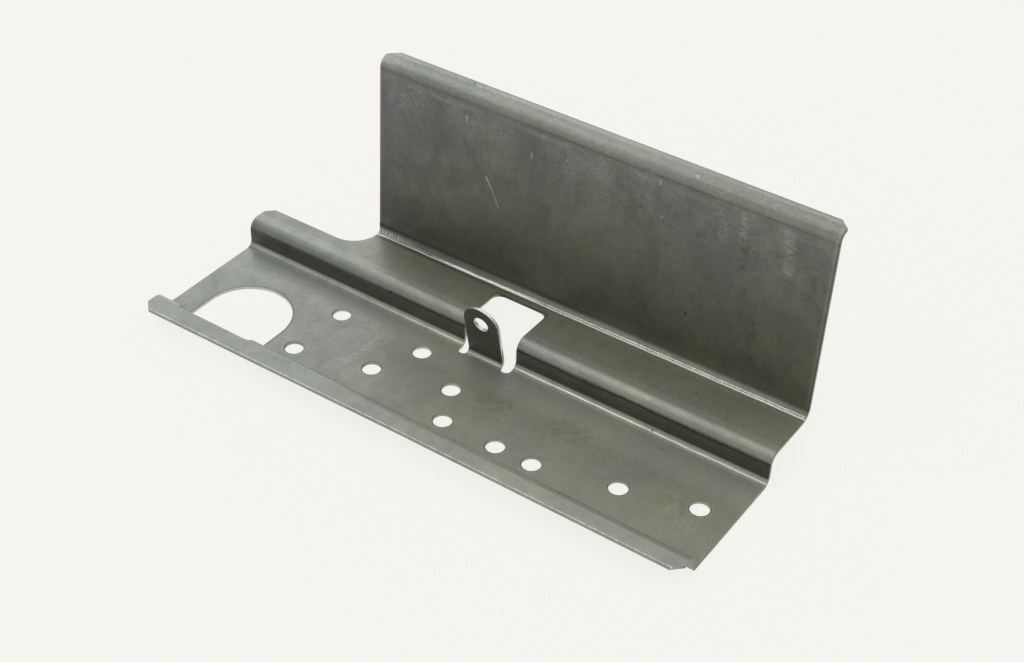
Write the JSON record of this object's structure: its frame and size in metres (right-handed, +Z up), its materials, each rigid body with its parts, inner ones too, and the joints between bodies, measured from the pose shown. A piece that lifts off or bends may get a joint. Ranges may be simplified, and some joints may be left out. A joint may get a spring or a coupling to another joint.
{
  "type": "stamped mounting bracket",
  "caption": "Folded sheet-steel bracket with a hooked front rail, a drilled base, a stepped shelf, a tall back wall with a turned top edge, and a bent-up ear with a hole.",
  "frame": {"origin": "centre of the bracket's footprint, on the plane of the base's underside", "axes": "+X along the folds from the end with the arched cut-out to the other end, +Y from the front rail to the back wall, +Z up"},
  "size_m": [0.306, 0.1292, 0.115],
  "materials": {
    "steel": "bare rolled steel with dull oily patches, faint scratches and bright burnished bends"
  },
  "bodies": {
    "root": {"bracket": "steel"}
  },
  "joints": []
}
